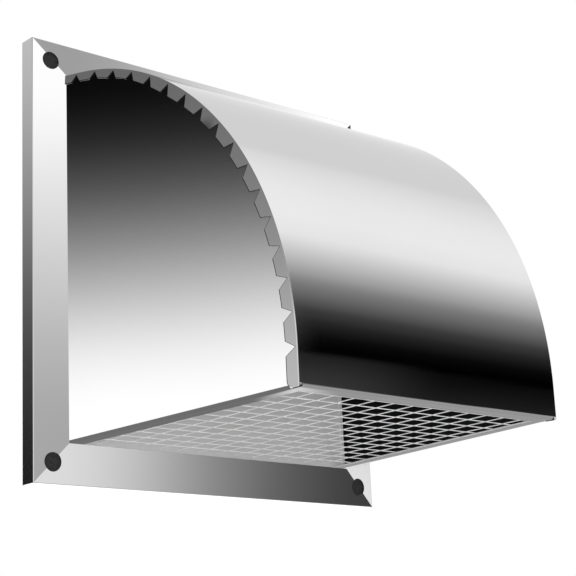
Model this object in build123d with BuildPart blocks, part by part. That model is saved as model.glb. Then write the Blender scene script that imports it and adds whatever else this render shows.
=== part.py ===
# Stainless steel wall vent hood: a flange frame with a curved hood on it,
# a wire screen across the hood's open underside, and a flap damper on its duct collar.
#
# Millimetres. +Z is up, the wall is the plane y = 0, and the hood comes out towards -Y.
# The origin lies on the wall plane in the middle of the four screw holes.

import os
from math import atan, atan2, cos, degrees, radians, sin, sqrt, tan

from build123d import *

os.makedirs("parts", exist_ok=True)

# Sheet metal
sheet = 0.8
bend_radius = 1.4
running_gap = 0.3

# Flange frame: four mitred strips that rise a little towards the hood, with side returns
flange_width = 230.0
flange_height = 237.0
flange_return = 10.0
bevel_rise = 1.4
screw_hole_radius = 4.9
screw_hole_inset = 11.0

# Hood: a short sloping top, one large arc and a short upright front
hood_width_back = 191.0
hood_width_front = 171.0
hood_top = 100.5
hood_bottom = -97.5
hood_projection = 164.9
hood_straight = 15.2
top_pitch = 10.0
lip_width = 9.0
lip_end_radius = 3.0
corner_relief = 2.0

# Tabs folded down over the outside of the cheeks
tab_depth = 7.0
tab_pitch = 15.9
first_notch = 11.0
notch_root = 1.9
notch_mouth = 6.8

# Back plate behind the hood
plate_overlap = 4.0
window_clearance = 0.4

# Wire screen
wire_radius = 0.53
screen_pitch = 12.7

# Duct collar
collar_radius = 50.0
collar_length = 38.0
collar_height = 12.0
collar_rim = 4.5
collar_clearance = 0.25
bead_height = 1.2
bead_half_width = 2.2
bead_out = 3.0

# Damper
seal_thickness = 3.4
seal_width = 4.0
flap_overlap = 3.5
flap_rib_height = 1.6
flap_rib_radius = 34.0
hinge_rise = 10.5
hinge_rod_radius = 1.5
hinge_running_fit = 0.06
knuckle_length = 14.0
knuckle_spacing = 40.0
ear_spacing = 68.0
ear_height = 12.0
clip_length = 2.4
clip_radius = 3.2

# Wall gasket
gasket_width = 18.0

# Derived levels, as distances from the wall
face_front = flange_return + bevel_rise
hood_front = face_front + hood_projection
top_strip = flange_height / 2 - hood_top
bottom_strip = flange_height / 2 + hood_bottom
side_strip = (flange_width - hood_width_back) / 2
narrowest_strip = min(top_strip, bottom_strip, side_strip) - sheet - window_clearance
plate_front = flange_return - sheet + bevel_rise * (1 - plate_overlap / narrowest_strip)
plate_back = plate_front - sheet
rim_front = plate_front + sheet
seal_front = rim_front + seal_thickness
flap_back = seal_front + running_gap
flap_front = flap_back + sheet
knuckle_radius = hinge_rod_radius + hinge_running_fit + sheet
hinge_out = flap_front - knuckle_radius
hinge_up = collar_height + collar_radius + hinge_rise
hole_spacing_across = flange_width - 2 * screw_hole_inset
hole_spacing_up = flange_height - 2 * screw_hole_inset
side_lean = atan((hood_width_back - hood_width_front) / 2 / hood_projection)
pitch = radians(top_pitch)
window_top = hood_top + bevel_rise * tan(pitch) + window_clearance
window_height = window_top - hood_bottom + window_clearance
window_middle = (window_top + hood_bottom - window_clearance) / 2
window_width = hood_width_back + 2 * window_clearance
screen_level = hood_bottom + sheet
fold_bevel = bend_radius * (2 - sqrt(2))

# The arc of the hood fills its corner but for a short straight run on the nearer side
front_run = hood_top - hood_projection * tan(pitch) - hood_bottom
top_run = (hood_front - plate_front) / cos(pitch)
hood_radius = (min(front_run, top_run) - hood_straight) / tan(radians(90 - top_pitch) / 2)


def side_plane(side, inset=0.0):
    """Plane of one leaning side of the hood, with its normal outwards."""
    base = Plane(
        origin=(side * hood_width_back / 2, -face_front, 0),
        x_dir=(0, 0, 1),
        z_dir=(side * cos(side_lean), -sin(side_lean), 0),
    )
    return base.offset(-inset)


def half_width(out, inset=0.0):
    """Half the hood's width at a distance from the wall, measured to an inset side plane."""
    return hood_width_back / 2 - (out - face_front) * tan(side_lean) - inset / cos(side_lean)


def profile_points(inset):
    """Corner points of the hood's side profile, moved inwards by the inset."""
    front = hood_front - inset
    top_at_plate = hood_top + (face_front - plate_front) * tan(pitch) - inset / cos(pitch)
    top_at_front = hood_top - (front - face_front) * tan(pitch) - inset / cos(pitch)
    return [(-plate_front, top_at_plate), (-front, top_at_front), (-front, hood_bottom)]


def hood_band(outer, inner):
    """Strip of the side profile between two insets, in the YZ plane."""
    with BuildSketch(Plane.YZ) as band:
        with BuildLine():
            FilletPolyline(*profile_points(outer), radius=hood_radius - outer)
            FilletPolyline(*profile_points(inner), radius=hood_radius - inner)
            Line(profile_points(outer)[0], profile_points(inner)[0])
            Line(profile_points(outer)[2], profile_points(inner)[2])
        make_face()
    return band


# Flange frame: the returns stand on the wall, the four strips slope up to the window
bend_level = flange_return - bend_radius / 2
with BuildPart() as flange_frame:
    with BuildSketch(Plane.XZ):
        Rectangle(flange_width, flange_height)
    extrude(amount=bend_level)
    with BuildSketch(Plane.XZ.offset(bend_level)):
        Rectangle(flange_width, flange_height)
    with BuildSketch(Plane.XZ.offset(flange_return)):
        Rectangle(flange_width - bend_radius, flange_height - bend_radius)
    loft()
    with BuildSketch(Plane.XZ.offset(flange_return)):
        Rectangle(flange_width - bend_radius, flange_height - bend_radius)
    with BuildSketch(Plane.XZ.offset(face_front)):
        with Locations((0, window_middle)):
            Rectangle(window_width, window_height)
    loft()
    with BuildSketch(Plane.XZ):
        Rectangle(flange_width - 2 * sheet, flange_height - 2 * sheet)
    extrude(amount=flange_return - sheet, mode=Mode.SUBTRACT)
    with BuildSketch(Plane.XZ.offset(flange_return - sheet)):
        Rectangle(flange_width - 2 * sheet, flange_height - 2 * sheet)
    with BuildSketch(Plane.XZ.offset(face_front - sheet)):
        with Locations((0, window_middle)):
            Rectangle(window_width, window_height)
    loft(mode=Mode.SUBTRACT)
    with BuildSketch(Plane.XZ):
        with Locations((0, window_middle)):
            Rectangle(window_width, window_height)
    extrude(amount=face_front, mode=Mode.SUBTRACT)
    with BuildSketch(Plane.XZ):
        with GridLocations(hole_spacing_across, hole_spacing_up, 2, 2):
            Circle(screw_hole_radius)
    extrude(amount=face_front, mode=Mode.SUBTRACT)

# Foam gasket in the hollow of the flange, open in the middle for the duct
gasket_thickness = min(plate_back, flange_return - sheet)
gasket_across = flange_width - 2 * sheet
gasket_up = flange_height - 2 * sheet
with BuildPart() as wall_gasket:
    with BuildSketch(Plane.XZ):
        Rectangle(gasket_across, gasket_up)
        Rectangle(gasket_across - 2 * gasket_width, gasket_up - 2 * gasket_width, mode=Mode.SUBTRACT)
        with GridLocations(hole_spacing_across, hole_spacing_up, 2, 2):
            Circle(screw_hole_radius, mode=Mode.SUBTRACT)
    extrude(amount=gasket_thickness)

# Back plate: closes the window behind the hood and carries the duct collar
with BuildPart() as back_plate:
    with BuildSketch(Plane.XZ.offset(plate_back)):
        with Locations((0, window_middle)):
            RectangleRounded(
                window_width + 2 * plate_overlap,
                window_height + 2 * plate_overlap,
                plate_overlap,
            )
        with Locations((0, collar_height)):
            Circle(collar_radius + collar_clearance, mode=Mode.SUBTRACT)
    extrude(amount=sheet)

# Duct collar: a round spigot with its rim turned out over the plate and a bead that stops the duct
outer = collar_height + collar_radius
inner = outer - sheet
with BuildPart() as duct_collar:
    with BuildSketch(Plane.YZ):
        with BuildLine():
            Polyline(
                (-plate_front, outer),
                (-plate_front, outer + collar_rim),
                (-rim_front, outer + collar_rim),
                (-rim_front, inner),
                (bead_out - bead_half_width, inner),
                (bead_out, inner + bead_height),
                (bead_out + bead_half_width, inner),
                (collar_length, inner),
                (collar_length, outer),
                (bead_out + bead_half_width, outer),
                (bead_out, outer + bead_height),
                (bead_out - bead_half_width, outer),
                close=True,
            )
        make_face()
        mouth = vertices().group_by(Axis.X)[0].sort_by(Axis.Y)[0]
        chamfer(mouth, sheet * 0.6)
        tail = vertices().group_by(Axis.X)[-1].sort_by(Axis.Y)[-1]
        chamfer(tail, sheet * 0.6)
    revolve(axis=Axis((0, 0, collar_height), (0, 1, 0)))

# Notches between the tabs: wedges along the profile, each with its point at the tab's root
with BuildLine() as root_line:
    FilletPolyline(*profile_points(notch_root), radius=hood_radius - notch_root)
root_path = root_line.wires()[0]
notch_count = int((root_path.length - first_notch) / tab_pitch)
notch_depth = tab_depth - notch_root
with BuildSketch(Plane.YZ) as notches:
    for index in range(notch_count):
        along = (first_notch + index * tab_pitch) / root_path.length
        point = root_path.position_at(along)
        heading = root_path.tangent_at(along)
        turn = degrees(atan2(heading.Y, heading.X))
        with Locations(Location((point.X, point.Y, 0), (0, 0, turn))):
            Polygon((0, 0), (-notch_mouth, 2 * notch_depth), (notch_mouth, 2 * notch_depth), align=None)

# Space under the hood sheet and between its folded sides
with BuildPart() as under_hood:
    extrude(hood_band(sheet, tab_depth + sheet).sketch, amount=flange_width / 2, both=True)
    for side in (-1, 1):
        split(bisect_by=side_plane(side, sheet), keep=Keep.BOTTOM)

# Lips of the hood sheet: one turned in along the bottom, one turned down on the plate
with BuildPart() as hood_lips:
    with BuildSketch(Plane.XY.offset(hood_bottom)) as front_lip:
        lip_back = hood_front - lip_width
        Polygon(
            (-half_width(hood_front, 2 * sheet), -hood_front + sheet / 2),
            (half_width(hood_front, 2 * sheet), -hood_front + sheet / 2),
            (half_width(lip_back, 2 * sheet), -lip_back),
            (-half_width(lip_back, 2 * sheet), -lip_back),
            align=None,
        )
        fillet(front_lip.vertices().group_by(Axis.Y)[-1], lip_end_radius)
    extrude(amount=sheet)
    with BuildSketch(Plane.XZ.offset(plate_front)):
        with Locations((0, profile_points(sheet / 2)[0][1])):
            Rectangle(flange_width, lip_width - sheet / 2, align=(Align.CENTER, Align.MAX))
    extrude(amount=sheet)
    for side in (-1, 1):
        split(bisect_by=side_plane(side, 2 * sheet), keep=Keep.BOTTOM)

# Hood sheet: the curved top, folded down along both sides into rows of tabs
with BuildLine(Plane.YZ) as fold_line:
    FilletPolyline(*profile_points(0), radius=hood_radius)
with BuildPart() as hood_sheet:
    extrude(hood_band(0, tab_depth).sketch, amount=flange_width / 2, both=True)
    for side in (-1, 1):
        split(bisect_by=side_plane(side), keep=Keep.BOTTOM)
    add(under_hood.part, mode=Mode.SUBTRACT)
    fold_edges = []
    for edge in edges():
        middle = edge.position_at(0.5)
        off_fold = fold_line.wires()[0].distance_to(Vertex(0, middle.Y, middle.Z))
        if off_fold < 0.01 and abs(middle.X) > hood_width_front / 4:
            fold_edges.append(edge)
    chamfer(fold_edges, fold_bevel)
    extrude(notches.sketch, amount=flange_width / 2, both=True, mode=Mode.SUBTRACT)
    add(hood_lips.part)

# Cheeks: flat side plates under the hood sheet, with lips turned in below and behind
with BuildSketch(Plane.YZ) as cheek_sketch:
    with BuildLine():
        FilletPolyline(*profile_points(sheet), radius=hood_radius - sheet)
        Polyline(
            profile_points(sheet)[2],
            (-plate_front, hood_bottom),
            profile_points(sheet)[0],
        )
    make_face()

lip_front = hood_front - lip_width - corner_relief
with BuildPart() as right_cheek:
    extrude(cheek_sketch.sketch, amount=flange_width / 2)
    split(bisect_by=side_plane(1, sheet), keep=Keep.BOTTOM)
    split(bisect_by=side_plane(1, 2 * sheet), keep=Keep.TOP)
    with BuildSketch(Plane.XY.offset(hood_bottom)) as bottom_lip:
        Polygon(
            (half_width(plate_front, 1.5 * sheet), -plate_front),
            (half_width(lip_front, 1.5 * sheet), -lip_front),
            (half_width(lip_front) - lip_width, -lip_front),
            (half_width(plate_front) - lip_width, -plate_front),
            align=None,
        )
        lip_corner = bottom_lip.vertices().group_by(Axis.Y)[0].sort_by(Axis.X)[0]
        fillet(lip_corner, lip_end_radius)
    extrude(amount=sheet)
    with BuildSketch(Plane.XZ.offset(plate_front)):
        with Locations((half_width(plate_front, 1.5 * sheet), hood_bottom)):
            Rectangle(
                lip_width - 1.5 * sheet,
                profile_points(sheet)[0][1] - lip_width - corner_relief - hood_bottom,
                align=(Align.MAX, Align.MIN),
            )
    extrude(amount=sheet)

with BuildPart() as left_cheek:
    mirror(right_cheek.part, about=Plane.YZ)

# Wire screen: straight wires in two crossing layers, laid on the lips inside the hood
cross_count = int((hood_projection - 2 * lip_width) / screen_pitch) + 1
cross_first = (plate_front + hood_front - (cross_count - 1) * screen_pitch) / 2
deep_count = 2 * int((half_width(hood_front) - lip_width) / screen_pitch) + 1
with BuildPart() as wire_screen:
    for index in range(cross_count):
        out = cross_first + index * screen_pitch
        with BuildSketch(Plane.YZ):
            with Locations((-out, screen_level + wire_radius)):
                RegularPolygon(wire_radius, 12)
        extrude(amount=half_width(out, 2 * sheet) - running_gap, both=True)
    with BuildSketch(Plane.XZ.offset(plate_front + running_gap)):
        with Locations((0, screen_level + 3 * wire_radius)):
            with GridLocations(screen_pitch, screen_pitch, deep_count, 1):
                RegularPolygon(wire_radius, 12)
    extrude(amount=hood_projection + face_front - plate_front - sheet - 2 * running_gap)

# Damper seal: a soft ring on the collar's rim
with BuildPart() as damper_seal:
    with BuildSketch(Plane.XZ.offset(rim_front)):
        with Locations((0, collar_height)):
            Circle(collar_radius + collar_rim)
            Circle(collar_radius + collar_rim - seal_width, mode=Mode.SUBTRACT)
    extrude(amount=seal_thickness)

# Damper flap: a ribbed disc whose top edge is rolled into two knuckles round the rod
flap_radius = collar_radius + collar_rim + flap_overlap
leaf_width = knuckle_spacing + knuckle_length
leaf_top = hinge_up - knuckle_radius - running_gap
with BuildPart() as damper_flap:
    with BuildSketch(Plane.XZ.offset(flap_back)):
        with Locations((0, collar_height)):
            Circle(flap_radius)
        with Locations((0, collar_height)):
            Rectangle(leaf_width, leaf_top - collar_height, align=(Align.CENTER, Align.MIN))
        with Locations((0, collar_height)):
            with GridLocations(knuckle_spacing, 0, 2, 1):
                Rectangle(knuckle_length, hinge_up - collar_height, align=(Align.CENTER, Align.MIN))
    extrude(amount=sheet)
    with BuildSketch(Plane.XZ.offset(flap_front)):
        with Locations((0, collar_height)):
            Circle(flap_rib_radius + 2 * flap_rib_height)
            Circle(flap_rib_radius, mode=Mode.SUBTRACT)
    extrude(amount=flap_rib_height, taper=30)
    for side in (-1, 1):
        with BuildSketch(Plane.YZ.offset(side * knuckle_spacing / 2)):
            with Locations((-hinge_out, hinge_up)):
                Circle(knuckle_radius)
        extrude(amount=knuckle_length / 2, both=True)
        with BuildSketch(Plane.YZ.offset(side * knuckle_spacing / 2)):
            with Locations((-hinge_out, hinge_up)):
                Circle(hinge_rod_radius + hinge_running_fit)
        extrude(amount=knuckle_length / 2, both=True, mode=Mode.SUBTRACT)

# Hinge rod, with a push-on clip on each end
rod_length = ear_spacing + 2 * sheet + 2 * clip_length
with BuildPart() as hinge_rod:
    with BuildSketch(Plane.YZ):
        with Locations((-hinge_out, hinge_up)):
            Circle(hinge_rod_radius)
    extrude(amount=rod_length / 2, both=True)
    chamfer(hinge_rod.edges().filter_by(GeomType.CIRCLE), hinge_rod_radius * 0.25)

with BuildPart() as right_rod_clip:
    with BuildSketch(Plane.YZ.offset(ear_spacing / 2 + sheet + running_gap / 3)):
        with Locations((-hinge_out, hinge_up)):
            Circle(min(clip_radius, hinge_out - plate_front))
            Circle(hinge_rod_radius + hinge_running_fit / 3, mode=Mode.SUBTRACT)
    extrude(amount=clip_length / 2)

with BuildPart() as left_rod_clip:
    mirror(right_rod_clip.part, about=Plane.YZ)

# Hinge ears: bent brackets with their feet on the back plate, turned in towards the knuckles
ear_out = hinge_out + 2 * knuckle_radius
ear_foot = (ear_spacing - knuckle_spacing - knuckle_length) / 2 + sheet - 4 * running_gap
with BuildPart() as right_hinge_ear:
    with BuildSketch(Plane.YZ.offset(ear_spacing / 2)):
        with Locations((-plate_front, hinge_up)):
            Rectangle(ear_out - plate_front, ear_height, align=(Align.MAX, Align.CENTER))
        nose = vertices().group_by(Axis.X)[0]
        fillet(nose, knuckle_radius)
        with Locations((-hinge_out, hinge_up)):
            Circle(hinge_rod_radius + hinge_running_fit / 2, mode=Mode.SUBTRACT)
    extrude(amount=sheet)
    with BuildSketch(Plane.XZ.offset(plate_front)):
        with Locations((ear_spacing / 2 + sheet, hinge_up)):
            Rectangle(ear_foot, ear_height, align=(Align.MAX, Align.CENTER))
    extrude(amount=sheet)

with BuildPart() as left_hinge_ear:
    mirror(right_hinge_ear.part, about=Plane.YZ)

flange_frame.part.label = "flange_frame"
wall_gasket.part.label = "wall_gasket"
back_plate.part.label = "back_plate"
duct_collar.part.label = "duct_collar"
hood_sheet.part.label = "hood_sheet"
left_cheek.part.label = "left_cheek"
right_cheek.part.label = "right_cheek"
wire_screen.part.label = "wire_screen"
damper_seal.part.label = "damper_seal"
damper_flap.part.label = "damper_flap"
hinge_rod.part.label = "hinge_rod"
left_rod_clip.part.label = "left_rod_clip"
right_rod_clip.part.label = "right_rod_clip"
left_hinge_ear.part.label = "left_hinge_ear"
right_hinge_ear.part.label = "right_hinge_ear"

export_step(flange_frame.part, "parts/flange_frame.step")
export_step(wall_gasket.part, "parts/wall_gasket.step")
export_step(back_plate.part, "parts/back_plate.step")
export_step(duct_collar.part, "parts/duct_collar.step")
export_step(hood_sheet.part, "parts/hood_sheet.step")
export_step(left_cheek.part, "parts/left_cheek.step")
export_step(right_cheek.part, "parts/right_cheek.step")
export_step(wire_screen.part, "parts/wire_screen.step")
export_step(damper_seal.part, "parts/damper_seal.step")
export_step(damper_flap.part, "parts/damper_flap.step")
export_step(hinge_rod.part, "parts/hinge_rod.step")
export_step(left_rod_clip.part, "parts/left_rod_clip.step")
export_step(right_rod_clip.part, "parts/right_rod_clip.step")
export_step(left_hinge_ear.part, "parts/left_hinge_ear.step")
export_step(right_hinge_ear.part, "parts/right_hinge_ear.step")
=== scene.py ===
from math import cos, pi, radians, sin, tan

import bmesh
import bpy
import numpy as np
from mathutils import Matrix, Vector


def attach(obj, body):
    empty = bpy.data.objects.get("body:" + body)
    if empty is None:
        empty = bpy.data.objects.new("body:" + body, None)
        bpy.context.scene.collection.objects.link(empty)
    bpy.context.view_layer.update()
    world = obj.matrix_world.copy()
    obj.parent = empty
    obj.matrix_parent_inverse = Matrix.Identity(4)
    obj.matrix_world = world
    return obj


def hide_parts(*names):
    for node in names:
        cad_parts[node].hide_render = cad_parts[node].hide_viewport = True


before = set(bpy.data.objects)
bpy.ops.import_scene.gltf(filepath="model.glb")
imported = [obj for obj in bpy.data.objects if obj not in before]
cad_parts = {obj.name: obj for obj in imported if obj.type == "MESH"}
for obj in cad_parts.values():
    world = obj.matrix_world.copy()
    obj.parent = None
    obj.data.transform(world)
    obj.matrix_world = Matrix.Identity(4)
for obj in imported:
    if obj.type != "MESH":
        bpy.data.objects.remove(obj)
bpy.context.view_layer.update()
scene = bpy.context.scene

# Sizes shared by the pieces, in millimetres. Distances called "out" run from the wall towards -Y.
hood = {
    "backWidth": 191.0, "frontWidth": 171.0,
    "top": 100.5, "bottom": -97.5,
    "faceOut": 11.4, "frontOut": 176.3,
    "plateOut": 10.2667, "straight": 15.2,
    "pitch": radians(10.0), "sheet": 0.8,
    "bend": 1.4,                              # folds at the bottom
    "sideBend": 0.3,                          # fold between the skin and the tabs
    "notchRoot": 1.9,                         # distances along the arc are measured this far inside it
}
leanSlope = (hood["backWidth"] - hood["frontWidth"]) / 2 / (hood["frontOut"] - hood["faceOut"])
cornerUp = hood["top"] - (hood["frontOut"] - hood["faceOut"]) * tan(hood["pitch"])
frontRun = cornerUp - hood["bottom"]
slopeRun = (hood["frontOut"] - hood["plateOut"]) / cos(hood["pitch"])
arcReach = min(frontRun, slopeRun) - hood["straight"]
arcRadius = arcReach / tan((pi / 2 - hood["pitch"]) / 2)
arcOut = hood["frontOut"] - arcRadius
arcUp = cornerUp - arcReach
topRun = slopeRun - arcReach
frontDrop = frontRun - arcReach
startUp = hood["top"] + (hood["faceOut"] - hood["plateOut"]) * tan(hood["pitch"])
rootRadius = arcRadius - hood["notchRoot"]
arcEnd = topRun + rootRadius * (pi / 2 - hood["pitch"])
quarter = pi / 2
toMetres = 0.001
sheetGap = 0.01                               # between two sheets that lie on each other


def halfWidth(out):
    # half the hood's width: it shrinks in proportion to the distance from the wall
    return hood["backWidth"] / 2 - (out - hood["faceOut"]) * leanSlope


def profileAt(station, inset):
    # straight sloping run, then an arc whose angle is the distance over its radius, then a straight drop;
    # each point is moved inwards along the profile's own normal by the inset
    angle = np.clip(hood["pitch"] + (station - topRun) / rootRadius, hood["pitch"], quarter)
    alongTop = np.minimum(station - topRun, 0.0)
    downFront = np.maximum(station - arcEnd, 0.0)
    out = arcOut + (arcRadius - inset) * np.sin(angle) + alongTop * cos(hood["pitch"])
    up = arcUp + (arcRadius - inset) * np.cos(angle) - alongTop * sin(hood["pitch"]) - downFront
    return np.maximum(out, hood["plateOut"]), up


def place(across, out, up):
    # millimetres across, out of the wall and up become metres in the shared frame
    across, out, up = np.broadcast_arrays(across, out, up)
    return np.stack([across, -out, up], -1) * toMetres


def fillGaps(breaks, step):
    # every gap between two breaks is split into equal parts no longer than the step
    breaks = np.unique(np.round(breaks, 5))
    parts = np.maximum(1, np.ceil(np.diff(breaks) / step - 1e-6)).astype(int)
    ends = np.concatenate([[0], np.cumsum(parts)])
    return np.interp(np.arange(ends[-1] + 1), ends, breaks)


def gridQuads(index):
    # quad (i, j) joins a grid point with its next neighbours along both directions
    corners = [index[:-1, :-1], index[:-1, 1:], index[1:, 1:], index[1:, :-1]]
    return np.stack(corners, -1).reshape(-1, 4)


def thickSheet(outer, inner):
    # two matching grids, one on each side of the sheet, closed along their four borders;
    # every face is marked 0 on the outside, 1 on the cut edges and 2 on the inside
    rows, columns = outer.shape[:2]
    above = np.arange(rows * columns).reshape(rows, columns)
    below = above + rows * columns
    rims = [np.stack([above[0], below[0]]), np.stack([below[-1], above[-1]]),
            np.stack([below[:, 0], above[:, 0]]), np.stack([above[:, -1], below[:, -1]])]
    quads = [gridQuads(above), gridQuads(below)[:, ::-1]] + [gridQuads(rim) for rim in rims]
    faces = (rows - 1) * (columns - 1)
    sides = np.repeat([0, 2, 1], [faces, faces, 2 * (rows + columns - 2)])
    return np.concatenate([outer.reshape(-1, 3), inner.reshape(-1, 3)]), np.concatenate(quads), sides


def closedShell(points, quads):
    # a closed surface whose faces are all on its outside
    return points, quads, np.zeros(len(quads), dtype=int)


def closedGrid(points, wrapColumns=True):
    # a grid whose last row joins its first one again, and its last column too if that is asked for
    rows, columns = points.shape[:2]
    index = np.arange(rows * columns).reshape(rows, columns)
    index = np.concatenate([index, index[:1]])
    if wrapColumns:
        index = np.concatenate([index, index[:, :1]], 1)
    return closedShell(points.reshape(-1, 3), gridQuads(index))


def closedTubes(points):
    # several shapes at once, each made of rings of points in millimetres that are joined one after another
    count, rings, sides = points.shape[:3]
    index = np.arange(count * rings * sides).reshape(count, rings, sides)
    index = np.concatenate([index, index[:, :, :1]], 2)
    corners = [index[:, :-1, :-1], index[:, :-1, 1:], index[:, 1:, 1:], index[:, 1:, :-1]]
    return closedShell(points.reshape(-1, 3) * toMetres, np.stack(corners, -1).reshape(-1, 4))


def joinParts(parts):
    # points and quads of several patches in one list, each patch's quads moved on by the points before it
    starts = np.cumsum([0] + [len(part[0]) for part in parts[:-1]])
    return (np.concatenate([part[0] for part in parts]),
            np.concatenate([part[1] + start for part, start in zip(parts, starts)]),
            np.concatenate([part[2] for part in parts]))


def smoothMesh(mesh, smoothAngle):
    # only edges sharper than the angle, in degrees, stay hard
    mesh.polygons.foreach_set("use_smooth", np.ones(len(mesh.polygons), dtype=bool))
    mesh.set_sharp_from_angle(angle=radians(smoothAngle))


def finishMesh(mesh, smoothAngle, merge=1e-7):
    # near points are welded and faces turned outwards before the mesh is smoothed
    work = bmesh.new()
    work.from_mesh(mesh)
    bmesh.ops.remove_doubles(work, verts=work.verts, dist=merge)
    bmesh.ops.recalc_face_normals(work, faces=work.faces)
    work.to_mesh(mesh)
    work.free()
    smoothMesh(mesh, smoothAngle)


def fillMesh(name, part):
    # the part's third list is each face's place in the list of materials
    points, quads, sides = part
    mesh = bpy.data.meshes.new(name)
    mesh.from_pydata(points.tolist(), [], quads.tolist())
    mesh.polygons.foreach_set("material_index", sides.astype(np.int32))
    return mesh


def addObject(name, mesh):
    added = bpy.data.objects.new(name, mesh)
    scene.collection.objects.link(added)
    return added


def settle(piece, body, replaced):
    # the piece rides on its body, stands for its CAD nodes and stays out of the others' reflections
    piece.visible_glossy = False
    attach(piece, body)
    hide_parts(*replaced)


def makePiece(name, part, materials, body, replaced, smoothAngle, edge=0.0):
    # the first material is for the outside; a piece with four has the others for its cut edges and its
    # inside, both painted near black as shade, and for its turned-in lips, and may have a bevel as wide as
    # edge, painted near black as shade like the cut edges
    mesh = fillMesh(name, part)
    for material in materials:
        mesh.materials.append(material)
    finishMesh(mesh, smoothAngle)
    piece = addObject(name, mesh)
    if edge:
        bevel = piece.modifiers.new("softEdges", "BEVEL")
        bevel.width = edge * toMetres
        bevel.segments = 2
        bevel.limit_method = "ANGLE"
        bevel.angle_limit = radians(50)
        bevel.use_clamp_overlap = True
        bevel.harden_normals = True
        bevel.material = 1
    settle(piece, body, replaced)


# materials: every steel has a rolled grain and a slow cloudiness
surface = {
    "noiseLow": 0.3, "noiseHigh": 0.7,        # the middle range of the noise that is used
    "lineScale": 900.0, "lineDetail": 2.0, "lineDepth": 0.004, "lineHeight": 0.0002,
    "cloudScale": 14.0, "cloudDetail": 3.0, "cloudLow": -0.004, "cloudHigh": 0.006,
    "roughLow": 0.85, "roughHigh": 1.15,
    "poreDetail": 4.0, "cellShare": 1.4, "poreHeight": 0.0006, "softSpecular": 0.12,
}


def newMaterial(name):
    material = bpy.data.materials.new(name)
    material.use_nodes = True
    tree = material.node_tree
    return material, tree, tree.nodes["Principled BSDF"]


def addNode(tree, kind, **values):
    node = tree.nodes.new(kind)
    for key, value in values.items():
        setattr(node, key, value)
    return node


def grainNoise(tree, stretch, scale, detail=3.0):
    # noise on Object coordinates, drawn out along the directions whose stretch is small
    where = addNode(tree, "ShaderNodeTexCoord")
    mapping = addNode(tree, "ShaderNodeMapping")
    mapping.inputs["Scale"].default_value = stretch
    noise = addNode(tree, "ShaderNodeTexNoise")
    noise.inputs["Scale"].default_value = scale
    noise.inputs["Detail"].default_value = detail
    tree.links.new(where.outputs["Object"], mapping.inputs["Vector"])
    tree.links.new(mapping.outputs["Vector"], noise.inputs["Vector"])
    return noise.outputs["Fac"]


def ranged(tree, source, low, high):
    # the noise's middle range spread over low to high
    node = addNode(tree, "ShaderNodeMapRange")
    node.inputs["From Min"].default_value = surface["noiseLow"]
    node.inputs["From Max"].default_value = surface["noiseHigh"]
    node.inputs["To Min"].default_value = low
    node.inputs["To Max"].default_value = high
    tree.links.new(source, node.inputs["Value"])
    return node.outputs["Result"]


def tinted(tree, source, dark, light):
    # the noise's middle range as a colour between dark and light
    ramp = addNode(tree, "ShaderNodeValToRGB")
    ramp.color_ramp.elements[0].position = surface["noiseLow"]
    ramp.color_ramp.elements[0].color = (*dark, 1)
    ramp.color_ramp.elements[1].position = surface["noiseHigh"]
    ramp.color_ramp.elements[1].color = (*light, 1)
    tree.links.new(source, ramp.inputs["Fac"])
    return ramp.outputs["Color"]


def addBump(tree, shader, height, strength, distance):
    bump = addNode(tree, "ShaderNodeBump")
    bump.inputs["Strength"].default_value = strength
    bump.inputs["Distance"].default_value = distance
    tree.links.new(height, bump.inputs["Height"])
    tree.links.new(bump.outputs["Normal"], shader.inputs["Normal"])


def polishedSteel(name, dark, light, roughness, lines, metallic=1.0, grazing=0.86):
    # metal whose colour follows the cloudiness, its bump the rolled grain, and its roughness both
    material, tree, shader = newMaterial(name)
    shader.inputs["Metallic"].default_value = metallic
    shader.inputs["Specular Tint"].default_value = (grazing, grazing, grazing, 1)
    grain = grainNoise(tree, lines, surface["lineScale"], surface["lineDetail"])
    cloud = grainNoise(tree, (1, 1, 1), surface["cloudScale"], surface["cloudDetail"])
    tree.links.new(tinted(tree, cloud, dark, light), shader.inputs["Base Color"])
    spread = addNode(tree, "ShaderNodeMath", operation="ADD")
    grainRange = ranged(tree, grain, roughness * surface["roughLow"], roughness * surface["roughHigh"])
    tree.links.new(grainRange, spread.inputs[0])
    tree.links.new(ranged(tree, cloud, surface["cloudLow"], surface["cloudHigh"]), spread.inputs[1])
    tree.links.new(spread.outputs["Value"], shader.inputs["Roughness"])
    addBump(tree, shader, grain, surface["lineDepth"], surface["lineHeight"])
    return material


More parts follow.
